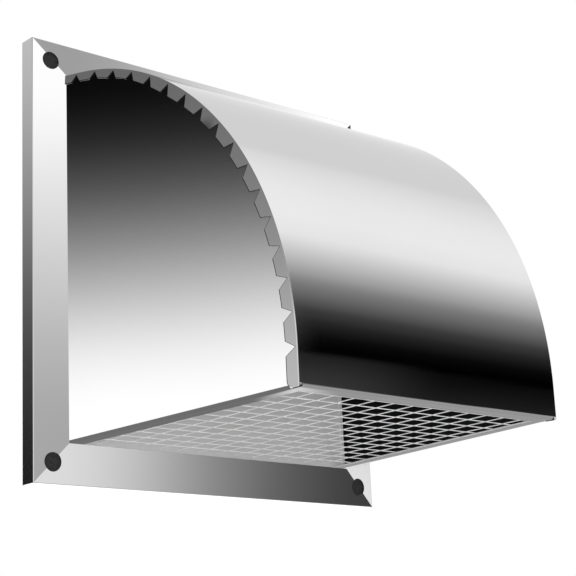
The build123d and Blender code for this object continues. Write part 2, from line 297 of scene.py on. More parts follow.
steels = {
    "hoodSteel": {
        "dark": (0.635, 0.635, 0.635), "light": (0.645, 0.645, 0.645), "roughness": 0.03,
        "lines": (0.03, 1, 1)},
    "cheekSteel": {
        "dark": (0.635, 0.635, 0.635), "light": (0.645, 0.645, 0.645), "roughness": 0.04,
        "lines": (1, 0.03, 1)},
    "frameSteel": {
        "dark": (0.63, 0.63, 0.63), "light": (0.65, 0.65, 0.65), "roughness": 0.05, "lines": (1, 1, 0.03)},
    "insideSteel": {
        "dark": (0.66, 0.66, 0.66), "light": (0.71, 0.71, 0.71), "roughness": 0.5,
        "lines": (0.04, 1, 1), "metallic": 0.45},
    # painted shade: the insides of the hood sheet and the cheeks are near black, standing in for the shade
    # and dark reflections inside the hood
    "paintedShadeSteel": {
        "dark": (0.008, 0.008, 0.008), "light": (0.012, 0.012, 0.012), "roughness": 0.4,
        "lines": (0.04, 1, 1), "grazing": 0.15},
    "wireSteel": {
        "dark": (0.90, 0.90, 0.90), "light": (0.95, 0.95, 0.95), "roughness": 0.35,
        "lines": (1, 1, 1), "metallic": 0.15},
    "hingeSteel": {
        "dark": (0.52, 0.52, 0.53), "light": (0.60, 0.60, 0.61), "roughness": 0.3, "lines": (0.05, 1, 1)},
    # painted shade: cut edges, bevels, the line round each tab and the screw hole walls are near black,
    # standing in for the shadow along edges, gaps and holes
    "paintedShadeEdge": {
        "dark": (0.015, 0.015, 0.015), "light": (0.025, 0.025, 0.025), "roughness": 0.35,
        "lines": (1, 1, 1)},
}
steel = {name: polishedSteel(name, **values) for name, values in steels.items()}


def foamOrRubber(name, dark, light, roughness, poreScale, depth):
    # cells from a Voronoi distance and a fine noise: the noise gives the colour, and both the bump
    material, tree, shader = newMaterial(name)
    fine = grainNoise(tree, (1, 1, 1), poreScale, surface["poreDetail"])
    where = addNode(tree, "ShaderNodeTexCoord")
    cells = addNode(tree, "ShaderNodeTexVoronoi")
    cells.inputs["Scale"].default_value = poreScale * surface["cellShare"]
    tree.links.new(where.outputs["Object"], cells.inputs["Vector"])
    tree.links.new(tinted(tree, fine, dark, light), shader.inputs["Base Color"])
    shader.inputs["Roughness"].default_value = roughness
    shader.inputs["Specular IOR Level"].default_value = surface["softSpecular"]
    both = addNode(tree, "ShaderNodeMath", operation="ADD")
    tree.links.new(fine, both.inputs[0])
    tree.links.new(cells.outputs["Distance"], both.inputs[1])
    addBump(tree, shader, both.outputs["Value"], depth, surface["poreHeight"])
    return material


softs = {
    "gasketFoam": {
        "dark": (0.026, 0.026, 0.026), "light": (0.036, 0.036, 0.036), "roughness": 0.9,
        "poreScale": 900.0, "depth": 0.3},
    "sealRubber": {
        "dark": (0.020, 0.020, 0.020), "light": (0.035, 0.035, 0.035), "roughness": 0.6,
        "poreScale": 500.0, "depth": 0.25},
}
soft = {name: foamOrRubber(name, **values) for name, values in softs.items()}
print("materials made")

# the hood sheet: its tabs, and the lips at its front and rear
tabs = {
    "depth": 7.0, "depthAtWall": 5.0, "growFrom": 52.0, "growTo": 95.0,
    "first": 11.0, "pitch": 15.9, "count": 17,
    "apex": 1.25, "halfMouth": 3.5,           # how near a notch comes to the fold, and half its width
    "tilt": radians(-3.0), "edge": 0.4,       # lean on the cheek, and width of the painted shade line round a tab
    "endRound": 3.0, "rowStep": 3.0, "leastFold": 0.02,
    "skinColumns": 25, "skinReach": 0.92, "foldSupport": 0.001,
}
lips = {
    "front": 9.0, "frontCorner": 3.0, "frontShare": 0.988,
    "rearRows": [0.4, 3.0, 6.0, 8.9],
}
stationEnd = arcEnd + frontDrop
notchAt = tabs["first"] + hood["notchRoot"] * tan(hood["pitch"]) + tabs["pitch"] * np.arange(tabs["count"])


def tabDepth(station):
    # a depth that grows away from the wall, less a wedge at each notch that is deepest at its middle,
    # and a rounded corner at the lower end
    away = np.abs(station[:, None] - notchAt[None, :]).min(1)
    full = np.interp(station, [tabs["growFrom"], tabs["growTo"]], [tabs["depthAtWall"], tabs["depth"]])
    depth = tabs["apex"] + (full - tabs["apex"]) * np.minimum(away / tabs["halfMouth"], 1)
    intoRound = np.clip(station - (stationEnd - tabs["endRound"]), 0, tabs["endRound"])
    return depth - (tabs["endRound"] - np.sqrt(tabs["endRound"] ** 2 - intoRound ** 2))


def hoodSkin(depthIn):
    # across the sheet: a tab, a quarter-round fold, the skin, and the same again mirrored;
    # every point is an inset from the profile and an inset from the leaning side plane
    rounding = stationEnd - tabs["endRound"] * (1 - np.array([1.0, 0.7, 0.5, 0.3, 0.12, 0.03, 0.0]))
    notches = [notchAt - tabs["halfMouth"], notchAt, notchAt + tabs["halfMouth"]]
    station = fillGaps(np.concatenate([[0, topRun], *notches, rounding]), tabs["rowStep"])
    depth = tabDepth(station)[:, None]
    fold = max(hood["sideBend"] - depthIn, tabs["leastFold"])
    turn = np.linspace(quarter, 0, 8)[None, :]
    start = depthIn + fold
    share = np.array([1, 0.8, 0.6, 0.4, 0.2, 0.02])[None, :]
    tabInset = np.concatenate([depth, start + (depth - tabs["edge"] - start) * share], 1)
    tabAside = depthIn + (tabInset - start) * tan(tabs["tilt"])
    foldInset = depthIn + fold * (1 - np.cos(turn)) + 0 * depth
    foldAside = depthIn + fold * (1 - np.sin(turn)) + 0 * depth
    inset = np.concatenate([tabInset, foldInset], 1)
    aside = np.concatenate([tabAside, foldAside], 1)
    out, up = profileAt(station[:, None], inset)
    leftSide = place(-(halfWidth(out) - aside), out, up)
    rightSide = place(halfWidth(out) - aside, out, up)[:, ::-1]
    skinOut, skinUp = profileAt(station[:, None], depthIn + 0 * depth)
    span = halfWidth(skinOut) - start
    middle = np.linspace(-tabs["skinReach"], tabs["skinReach"], tabs["skinColumns"])
    shareAcross = np.concatenate([[-1 + tabs["foldSupport"]], middle, [1 - tabs["foldSupport"]]])[None, :]
    drop = np.maximum(arcUp - skinUp, 0) / frontDrop * hood["bend"]
    skin = place(span * shareAcross, skinOut, skinUp + drop)
    return np.concatenate([leftSide, skin, rightSide], 1)


def hoodLip():
    # the front sheet turned back under the hood: a quarter round, then a flat lip with rounded corners
    bend, sheet, width, corner = hood["bend"], hood["sheet"], lips["front"], lips["frontCorner"]
    turn = np.linspace(0, quarter, 7)
    flat = np.concatenate([np.linspace(bend, width - corner, 4)[1:],
                           width - corner + corner * np.array([0.3, 0.6, 0.8, 0.93, 1.0])])
    back = np.concatenate([bend - bend * np.cos(turn), flat])[:, None]
    rise = np.concatenate([bend - bend * np.sin(turn), 0 * flat])[:, None]
    backIn = np.concatenate([bend - (bend - sheet) * np.cos(turn), flat])[:, None]
    riseIn = np.concatenate([bend - (bend - sheet) * np.sin(turn), sheet + 0 * flat])[:, None]
    intoRound = np.clip(back - (width - corner), 0, corner)
    cutOff = corner - np.sqrt(corner ** 2 - intoRound ** 2)
    reach = (halfWidth(hood["frontOut"]) - bend) * lips["frontShare"] - cutOff
    share = np.linspace(-1, 1, 27)[None, :]
    outer = place(reach * share, hood["frontOut"] - back, hood["bottom"] + rise)
    inner = place(reach * share, hood["frontOut"] - backIn, hood["bottom"] + riseIn)
    return thickSheet(outer, inner)


def plateStrip(across, up):
    # a sheet lying flat on the back plate, all its faces finished as a turned-in lip
    points, quads, sides = thickSheet(place(across, hood["plateOut"] + hood["sheet"], up),
                                      place(across, hood["plateOut"] + sheetGap, up))
    return points, quads, 0 * sides + 3


def rearLip():
    # rows at fixed distances under the hood's top line, each straight from side to side
    reach = halfWidth(hood["plateOut"]) - 2 * hood["sheet"]
    share = np.linspace(-1, 1, 9)[None, :]
    return plateStrip(reach * share, (startUp - np.array(lips["rearRows"]))[:, None])


def hoodSheet():
    # the sheet, with the outermost face of every row painted near black as shade like the cut edges, a
    # painted shade line round each tab, and its bottom edge as polished as the skin
    outer, inner = hoodSkin(0.0), hoodSkin(hood["sheet"])
    points, quads, sides = thickSheet(outer, inner)
    rows, columns = outer.shape[0] - 1, outer.shape[1] - 1
    # the outermost strip of each tab's outside gets the painted shade, a dark outline round the tab
    sides[:rows * columns].reshape(rows, columns)[:, [0, -1]] = 1
    bottomRim = 2 * rows * columns + columns
    sides[bottomRim:bottomRim + columns] = 0
    return points, quads, sides


hoodParts = [hoodSheet(), hoodLip(), rearLip()]
# the sheet's inside and its cut edges carry the near black painted shade
hoodFinishes = [steel[finish] for finish in ("hoodSteel", "paintedShadeEdge", "paintedShadeSteel", "insideSteel")]
makePiece("hoodShell", joinParts(hoodParts), hoodFinishes, "housing", ["hood_sheet"],
          smoothAngle=32)
print("hood sheet made")

# the cheeks: flat panels with a lip turned in at the bottom and another on the back plate
cheek = {
    "lip": 9.0, "lipFront": 169.5, "lipCorner": 2.0, "lipStep": 12.0, "columnStep": 4.0,
    "backInner": 1.6, "backOuter": 3.6, "backTop": 12.0, "edge": 0.12,
}


def cheekPanel(side, depthIn):
    # between the bottom line and the hood's profile, every column is a straight rise from one to the other
    station = fillGaps(np.array([0, topRun, arcEnd]), cheek["columnStep"])
    out, top = profileAt(station, hood["sheet"])
    foot = np.where(out > cheek["lipFront"], hood["bottom"], hood["bottom"] + hood["bend"])
    share = np.linspace(0, 1, 16)[:, None]
    up = foot[None, :] + (top - foot)[None, :] * share
    across = halfWidth(out)[None, :] - hood["sheet"] - depthIn + 0 * up
    return place(side * across, out[None, :] + 0 * up, up)


def cheekLip(side, depthIn):
    # the panel's foot turned in: a quarter round, then a flat lip whose front corner is rounded
    bend, rounding = hood["bend"], cheek["lipCorner"]
    turn = np.linspace(quarter, 0, 7)[:, None]
    corner = cheek["lipFront"] - rounding * (1 - np.array([0, 0.35, 0.6, 0.8, 0.93, 1.0]))
    out = fillGaps(np.concatenate([[hood["plateOut"]], corner]), cheek["lipStep"])[None, :]
    intoRound = np.clip(out - (cheek["lipFront"] - rounding), 0, rounding)
    reach = cheek["lip"] - (rounding - np.sqrt(rounding ** 2 - intoRound ** 2))
    foldAside = hood["sheet"] + depthIn + (bend - depthIn) * (1 - np.sin(turn)) + 0 * out
    foldUp = depthIn + (bend - depthIn) * (1 - np.cos(turn)) + 0 * out
    start = hood["sheet"] + bend
    share = np.linspace(0.25, 1, 4)[:, None]
    aside = np.concatenate([foldAside, start + (reach - start) * share])
    up = hood["bottom"] + np.concatenate([foldUp, depthIn + 0 * share + 0 * out])
    return place(side * (halfWidth(out) - aside), out + 0 * aside, up)


def cheekFoot(side):
    # the lip as a closed sheet, its cut edges finished as a turned-in lip
    points, quads, sides = thickSheet(cheekLip(side, 0.0), cheekLip(side, hood["sheet"]))
    return points, quads, np.where(sides == 1, 3, sides)


def cheekBack(side):
    # the panel's rear edge turned in on the back plate: three upright lines at even distances
    aside = np.linspace(cheek["backInner"], cheek["backOuter"], 3)[:, None]
    up = np.linspace(hood["bottom"] + hood["bend"], startUp - cheek["backTop"], 5)[None, :]
    return plateStrip(side * (halfWidth(hood["plateOut"]) - aside), up)


for side, name in ((-1, "left"), (1, "right")):
    parts = [thickSheet(cheekPanel(side, 0.0), cheekPanel(side, hood["sheet"])),
             cheekFoot(side), cheekBack(side)]
    # the cheeks' insides, cut edges and bevels carry the near black painted shade
    finishes = [steel[finish] for finish in ("cheekSteel", "paintedShadeEdge", "paintedShadeSteel", "insideSteel")]
    makePiece(name + "CheekPlate", joinParts(parts), finishes,
              "housing", [name + "_cheek"], smoothAngle=32, edge=cheek["edge"])
print("cheeks made")

# the flange frame: four mitred strips with a return to the wall, drilled for screws
flange = {
    "width": 230.0, "height": 237.0, "return": 10.0, "bend": 0.3, "faceOut": 11.4, "sheet": 0.8,
    "windowWidth": 189.6, "windowHeight": 198.3, "windowUp": 1.55,
    "holeInset": 11.0, "holeRadius": 4.9, "holeSteps": 48, "cutterFrom": -3.0, "cutterTo": 15.0,
    "supportShare": 0.004, "supportRow": 0.06,        # rows of the mesh close to the outer fold
    "pressTurn": radians(-3.0), "footTurn": radians(8.0), "topFrom": 99.0, "footWithin": 0.5,
}
holeAcross = flange["width"] / 2 - flange["holeInset"]
holeUp = flange["height"] / 2 - flange["holeInset"]


def stripCorners(aside, share):
    # half sizes and middle of the rectangle at each profile point: the outline pulled in,
    # then moved over to the window's by its share
    halfAcross = flange["width"] / 2 - aside
    halfUp = flange["height"] / 2 - aside
    halfAcross = halfAcross + (flange["windowWidth"] / 2 - halfAcross) * share
    halfUp = halfUp + (flange["windowHeight"] / 2 - halfUp) * share
    return halfAcross, halfUp, flange["windowUp"] * share


def frameStrip(ends, inward):
    # one mitred strip: a return, a quarter round and a sloping face in profile, and every profile point
    # runs straight between two corners of its own rectangle
    bend = flange["bend"]
    turn = np.linspace(0, quarter, 7)
    radius = bend - inward
    faceShare = np.concatenate([[flange["supportShare"]], np.linspace(0, 1, 9)[1:]])
    aside = np.concatenate([[inward, inward, inward], bend - radius * np.cos(turn), 0 * faceShare + bend])
    rise = flange["return"] - bend
    faceRise = (flange["faceOut"] - flange["return"]) * faceShare
    out = np.concatenate([[0, rise / 2, rise - flange["supportRow"]], rise + radius * np.sin(turn),
                          flange["return"] - inward + faceRise])
    share = np.concatenate([0 * turn[:3], 0 * turn, faceShare])
    halfAcross, halfUp, middle = stripCorners(aside, share)
    (x0, z0), (x1, z1) = ends
    along = np.linspace(0, 1, 25)[None, :]
    across = (halfAcross * x0)[:, None] * (1 - along) + (halfAcross * x1)[:, None] * along
    up = (middle + halfUp * z0)[:, None] * (1 - along) + (middle + halfUp * z1)[:, None] * along
    return place(across, out[:, None] + 0 * along, up)


def holeCutters(radius):
    # four closed round bars across the sheet at the screw holes
    turn = np.linspace(0, 2 * pi, flange["holeSteps"] + 1)[:-1]
    out = np.array([flange["cutterFrom"]] * 2 + [flange["cutterTo"]] * 2)[None, :]
    reach = np.array([0.0, radius, radius, 0.0])[None, :]
    parts = []
    for sideAcross, sideUp in ((-1, -1), (-1, 1), (1, 1), (1, -1)):
        points = place(sideAcross * holeAcross + reach * np.cos(turn)[:, None],
                       out + 0 * turn[:, None], sideUp * holeUp + reach * np.sin(turn)[:, None])
        parts.append(closedGrid(points, wrapColumns=False))
    mesh = fillMesh("screwHoles", joinParts(parts))
    finishMesh(mesh, 30)
    return addObject("screwHoles", mesh)


def drilled(part, cutter):
    # the part less the four bars
    mesh = fillMesh("blank", part)
    finishMesh(mesh, 30)
    blank = addObject("blank", mesh)
    cut = blank.modifiers.new("holes", "BOOLEAN")
    cut.operation = "DIFFERENCE"
    cut.solver = "EXACT"
    cut.object = cutter
    graph = bpy.context.evaluated_depsgraph_get()
    result = bpy.data.meshes.new_from_object(blank.evaluated_get(graph))
    bpy.data.objects.remove(blank)
    return result


def joinMeshes(meshes, name):
    work = bmesh.new()
    for mesh in meshes:
        work.from_mesh(mesh)
    joined = bpy.data.meshes.new(name)
    work.to_mesh(joined)
    work.free()
    return joined


def inHoles(mesh, nearness=0.05):
    # faces whose middle lies on the wall of a screw hole, to the nearness in millimetres
    middles = np.zeros(len(mesh.polygons) * 3)
    mesh.polygons.foreach_get("center", middles)
    middles = middles.reshape(-1, 3) / toMetres
    away = np.hypot(np.abs(middles[:, 0]) - holeAcross, np.abs(middles[:, 2]) - holeUp)
    return np.abs(away - flange["holeRadius"]) < nearness


def placePiece(name, mesh, materials, body, replaced, smoothAngle):
    # a drilled mesh, the walls of its screw holes in the last of its materials
    mesh.materials.clear()
    for material in materials:
        mesh.materials.append(material)
    mesh.polygons.foreach_set("material_index", inHoles(mesh).astype(np.int32) * (len(materials) - 1))
    smoothMesh(mesh, smoothAngle)
    piece = addObject(name, mesh)
    settle(piece, body, replaced)
    return piece


def pressStrips(mesh):
    # pressing leaves two faces a little off their planes, and their corner normals say so: the top strip's,
    # which look out and slightly up, are turned about the upright axis, and those of the bottom return,
    # which look down, are turned back
    normals = np.zeros(len(mesh.loops) * 3)
    mesh.corner_normals.foreach_get("vector", normals)
    normals = normals.reshape(-1, 3)
    points = np.zeros(len(mesh.vertices) * 3)
    mesh.vertices.foreach_get("co", points)
    corners = np.zeros(len(mesh.loops), dtype=np.int32)
    mesh.loops.foreach_get("vertex_index", corners)
    up = points.reshape(-1, 3)[corners, 2] / toMetres
    top = (normals[:, 1] < -0.9) & (normals[:, 2] > 0.03) & (up > flange["topFrom"])
    foot = (normals[:, 2] < -0.95) & (up < flange["footWithin"] - flange["height"] / 2)
    for chosen, turn, first, second in ((top, flange["pressTurn"], 0, 1), (foot, flange["footTurn"], 1, 2)):
        one, two = normals[chosen, first], normals[chosen, second]
        normals[chosen, first] = one * cos(turn) - two * sin(turn)
        normals[chosen, second] = one * sin(turn) + two * cos(turn)
    mesh.normals_split_custom_set(normals.tolist())


# each strip's two corners of the outline, as signs across and up
stripEnds = [((-1, -1), (-1, 1)), ((-1, 1), (1, 1)), ((1, 1), (1, -1)), ((1, -1), (-1, -1))]
cutter = holeCutters(flange["holeRadius"])
strips = [drilled(thickSheet(frameStrip(ends, 0.0), frameStrip(ends, flange["sheet"])), cutter)
          for ends in stripEnds]
frameMesh = joinMeshes(strips, "flangeFrame")
# the walls of the frame's screw holes get the near black painted shade
placePiece("flangeFrame", frameMesh, [steel["frameSteel"], steel["paintedShadeEdge"]], "housing",
           ["flange_frame"], smoothAngle=28)
pressStrips(frameMesh)

# the gasket: a foam ring in the frame's hollow
gasket = {
    "width": 228.4, "height": 235.4, "band": 18.0, "thickness": 9.2, "round": 1.6, "pinHole": 0.35,
}


def gasketRing():
    # a section carried round the frame's outline, its corners square: up the outside, over a quarter round,
    # across the wall face, down a second quarter round and back along the hidden side
    turn = np.linspace(0, quarter, 5)
    radius, band, thick = gasket["round"], gasket["band"], gasket["thickness"]
    sectionAside = np.concatenate([[0.0], radius - radius * np.cos(turn), [band / 2],
                                   band - radius + radius * np.sin(turn), [band, band / 2]])
    sectionOut = np.concatenate([[thick], radius - radius * np.sin(turn), [0.0],
                                 radius - radius * np.cos(turn), [thick, thick]])
    halfAcross = gasket["width"] / 2 - sectionAside[None, :]
    halfUp = gasket["height"] / 2 - sectionAside[None, :]
    along = np.linspace(0, 1, 13)[:-1]
    flat = np.concatenate([-1 + 0 * along, -1 + 2 * along, 1 + 0 * along, 1 - 2 * along])[:, None]
    tall = np.concatenate([-1 + 2 * along, 1 + 0 * along, 1 - 2 * along, -1 + 0 * along])[:, None]
    return closedGrid(place(halfAcross * flat, sectionOut[None, :] + 0 * flat, halfUp * tall))


pin = holeCutters(gasket["pinHole"])
foamPad = placePiece("gasketPad", drilled(gasketRing(), pin), [soft["gasketFoam"]], "housing",
                     ["wall_gasket"], smoothAngle=40)
bpy.data.objects.remove(cutter)
bpy.data.objects.remove(pin)
print("flange frame and gasket made")

# the wire screen: cross wires at the low level, deep wires on top of them
screen = {
    "radius": 0.25, "pitch": 12.7, "lowLevel": -96.3, "highLevel": -95.78,
    "crossCount": 12, "crossFirst": 23.4333, "deepCount": 13, "gap": 0.3, "sides": 14,
    "beadRadius": 0.42, "beadHeight": 0.36,
}


def levelPoints(across, out, up):
    # points in millimetres in the shared frame's directions, all at one height
    across, out = np.broadcast_arrays(across, out)
    return np.stack([across, -out, 0 * across + up], -1)


def wireRods(starts, ends):
    # round rods: circles across each rod at several distances, shrinking to a rounded tip at both ends
    radius = screen["radius"]
    tip = np.array([0.0, 0.12, 0.4, 0.8])
    middle = np.linspace(0, 1, 9)[1:-1]
    length = np.linalg.norm(ends - starts, axis=1)[:, None]
    share = np.concatenate([tip[None, :] * radius / length, middle[None, :] + 0 * length,
                            1 - tip[None, ::-1] * radius / length], 1)
    reach = np.sqrt(1 - (1 - np.array([0.0, 0.12, 0.4, 1.0])) ** 2)
    size = np.concatenate([reach, 0 * middle + 1, reach[::-1]])[None, :, None] * radius
    direction = (ends - starts) / length
    sideways = np.cross(direction, [0, 0, 1.0])
    turn = np.linspace(0, 2 * pi, screen["sides"], endpoint=False)[None, None, :]
    centre = starts[:, None, :] + (ends - starts)[:, None, :] * share[:, :, None]
    circle = (size * np.cos(turn))[..., None] * sideways[:, None, None, :] \
        + (size * np.sin(turn))[..., None] * np.array([0, 0, 1.0])
    return closedTubes(centre[:, :, None, :] + circle)


def weldBeads(across, out):
    # a flattened ball at every crossing, where the two wires are fused
    radius, height = screen["beadRadius"], screen["beadHeight"]
    turn = np.linspace(0, 2 * pi, 10, endpoint=False)[None, :]
    rise = np.linspace(-quarter, quarter, 6)[:, None]
    ball = np.stack([np.cos(rise) * np.cos(turn) * radius, np.cos(rise) * np.sin(turn) * radius,
                     np.sin(rise) * height + 0 * turn], -1)
    x, y = np.meshgrid(across, out)
    centres = levelPoints(x.ravel(), y.ravel(), (screen["lowLevel"] + screen["highLevel"]) / 2)
    return closedTubes(centres[:, None, None, :] + ball[None])


crossOut = screen["crossFirst"] + screen["pitch"] * np.arange(screen["crossCount"])
crossReach = halfWidth(crossOut) - 2 * hood["sheet"] - screen["gap"]
deepAcross = screen["pitch"] * (np.arange(screen["deepCount"]) - (screen["deepCount"] - 1) / 2)
deepBack = hood["plateOut"] + screen["gap"]
deepFront = hood["frontOut"] - hood["sheet"] - screen["gap"]
crossWires = wireRods(levelPoints(-crossReach, crossOut, screen["lowLevel"]),
                      levelPoints(crossReach, crossOut, screen["lowLevel"]))
deepWires = wireRods(levelPoints(deepAcross, deepBack, screen["highLevel"]),
                     levelPoints(deepAcross, deepFront, screen["highLevel"]))
screenParts = joinParts([crossWires, deepWires, weldBeads(deepAcross, crossOut)])
makePiece("screenWires", screenParts, [steel["wireSteel"]], "housing", ["wire_screen"],
          smoothAngle=50)
print("wire screen made")

# the duct collar and the damper's seal
collar = {
    "radius": 50.0, "up": 12.0, "rim": 4.5, "sheet": 0.8, "length": 38.0,
    "bead": 1.2, "beadHalf": 2.2, "beadOut": -3.0, "flare": 1.2, "rimRound": 0.4, "endRound": 0.15,
}
seal = {"middle": 2.0, "halfAcross": 2.0, "halfAlong": 1.7, "squareness": 0.6}


def revolved(section, steps=120):
    # a closed section, given as radius and distance out, turned about the duct's axis
    turn = np.linspace(0, 2 * pi, steps, endpoint=False)[:, None]
    radius, out = section[:, 0][None, :], section[:, 1][None, :]
    return closedGrid(place(radius * np.cos(turn), out + 0 * turn, collar["up"] + radius * np.sin(turn)))


def collarSection():
    # along the wall the radius swells at the bead by half a cosine wave; the mouth turns out over the plate
    radius, sheet, flare, rimRound = collar["radius"], collar["sheet"], collar["flare"], collar["rimRound"]
    plate, front = hood["plateOut"], hood["plateOut"] + hood["sheet"]
    inner, wallEnd = radius - sheet, -collar["length"]
    wall = np.concatenate([[wallEnd + 0.2], np.linspace(-30, -8, 4),
                           collar["beadOut"] + np.linspace(-1, 1, 13) * collar["beadHalf"], [2.0, 6.0]])
    away = np.clip((wall - collar["beadOut"]) / collar["beadHalf"], -1, 1)
    swell = collar["bead"] * 0.5 * (1 + np.cos(pi * away))
    outside = np.stack([radius + swell, wall], -1)
    inside = np.stack([inner + swell, wall], -1)[::-1]
    turn = np.linspace(0, quarter, 6)
    mouth = np.stack([inner + flare * (1 - np.cos(turn)), front - flare + flare * np.sin(turn)], -1)
    rim = np.stack([radius + collar["rim"] - rimRound + rimRound * np.sin(2 * turn),
                    plate + rimRound + rimRound * np.cos(2 * turn)], -1)
    tail = np.array([[inner + collar["endRound"], wallEnd], [radius - collar["endRound"], wallEnd]])
    return np.concatenate([outside, [[radius, plate - sheetGap]], rim[::-1], mouth[::-1], inside, tail])


def sealSection():
    # a soft ring whose section is a superellipse, standing on the collar's rim
    turn = np.linspace(0, 2 * pi, 25)[:-1]
    power = seal["squareness"]
    across = np.sign(np.cos(turn)) * np.abs(np.cos(turn)) ** power * seal["halfAcross"]
    along = np.sign(np.sin(turn)) * np.abs(np.sin(turn)) ** power * seal["halfAlong"]
    middle = collar["radius"] + collar["rim"] - seal["middle"]
    return np.stack([middle + across, hood["plateOut"] + hood["sheet"] + seal["halfAlong"] + along], -1)


makePiece("ductCollar", revolved(collarSection()), [steel["insideSteel"]], "housing",
          ["duct_collar"], smoothAngle=40)
makePiece("sealRing", revolved(sealSection()), [soft["sealRubber"]], "housing",
          ["damper_seal"], smoothAngle=60)

# CAD nodes whose shape is right get a better finish
nodeFinishes = {
    "back_plate": "insideSteel", "damper_flap": "insideSteel", "hinge_rod": "hingeSteel",
    "left_rod_clip": "hingeSteel", "right_rod_clip": "hingeSteel",
    "left_hinge_ear": "insideSteel", "right_hinge_ear": "insideSteel",
}
for nodeName, steelName in nodeFinishes.items():
    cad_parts[nodeName].material_slots[0].material = steel[steelName]
    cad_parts[nodeName].visible_glossy = False
print("collar, seal and carried-over nodes finished")

# the studio: floor, white world and two lamps
studio = {
    "floorUp": -0.45, "floorHalf": 9, "floorDark": (0.79, 0.79, 0.79), "floorLight": (0.81, 0.81, 0.81),
    "floorGrain": 3.0, "floorRoughness": 0.9, "fill": 0.62,
    "lamps": {
        "keyLamp": {"position": (-0.9, -1.3, 1.5), "size": 1.2, "power": 9.0},
        "lowLamp": {"position": (-0.7, -0.8, -0.40), "size": 0.5, "power": 8.5},
    },
}
half, floorUp = studio["floorHalf"], studio["floorUp"]
floorMesh = bpy.data.meshes.new("floor")
floorMesh.from_pydata([(-half, -half, floorUp), (half, -half, floorUp), (half, half, floorUp),
                       (-half, half, floorUp)], [], [(0, 1, 2, 3)])
floor = addObject("floor", floorMesh)
floorPaint, floorTree, floorShader = newMaterial("floorPaint")
floorNoise = grainNoise(floorTree, (1, 1, 1), studio["floorGrain"])
floorTint = tinted(floorTree, floorNoise, studio["floorDark"], studio["floorLight"])
floorTree.links.new(floorTint, floorShader.inputs["Base Color"])
floorShader.inputs["Roughness"].default_value = studio["floorRoughness"]
floorMesh.materials.append(floorPaint)
floor.visible_glossy = False


def backgroundNode(tree, strength):
    node = addNode(tree, "ShaderNodeBackground")
    node.inputs["Color"].default_value = (1, 1, 1, 1)
    node.inputs["Strength"].default_value = strength
    return node


# camera, glossy and transmission rays see plain white, and all others the fill light
world = bpy.data.worlds.new("studioWorld")
scene.world = world
world.use_nodes = True
worldTree = world.node_tree
worldTree.nodes.clear()
path = addNode(worldTree, "ShaderNodeLightPath")
either = addNode(worldTree, "ShaderNodeMath", operation="MAXIMUM")
anyOf = addNode(worldTree, "ShaderNodeMath", operation="MAXIMUM")
backdrop = backgroundNode(worldTree, 1.0)
fillLight = backgroundNode(worldTree, studio["fill"])
mixer = addNode(worldTree, "ShaderNodeMixShader")
worldOut = addNode(worldTree, "ShaderNodeOutputWorld")
worldTree.links.new(path.outputs["Is Camera Ray"], either.inputs[0])
worldTree.links.new(path.outputs["Is Glossy Ray"], either.inputs[1])
worldTree.links.new(either.outputs["Value"], anyOf.inputs[0])
worldTree.links.new(path.outputs["Is Transmission Ray"], anyOf.inputs[1])
worldTree.links.new(anyOf.outputs["Value"], mixer.inputs["Fac"])
worldTree.links.new(fillLight.outputs["Background"], mixer.inputs[1])
worldTree.links.new(backdrop.outputs["Background"], mixer.inputs[2])
worldTree.links.new(mixer.outputs["Shader"], worldOut.inputs["Surface"])


def addAreaLight(name, position, size, power):
    # a square lamp that faces the object's middle and shows in no reflection
    data = bpy.data.lights.new(name, "AREA")
    data.size = size
    data.energy = power
    lamp = addObject(name, data)
    lamp.location = position
    lamp.rotation_euler = (-Vector(position)).to_track_quat("-Z", "Y").to_euler()
    lamp.visible_glossy = False
    lamp.visible_camera = False


for lampName, values in studio["lamps"].items():
    addAreaLight(lampName, **values)

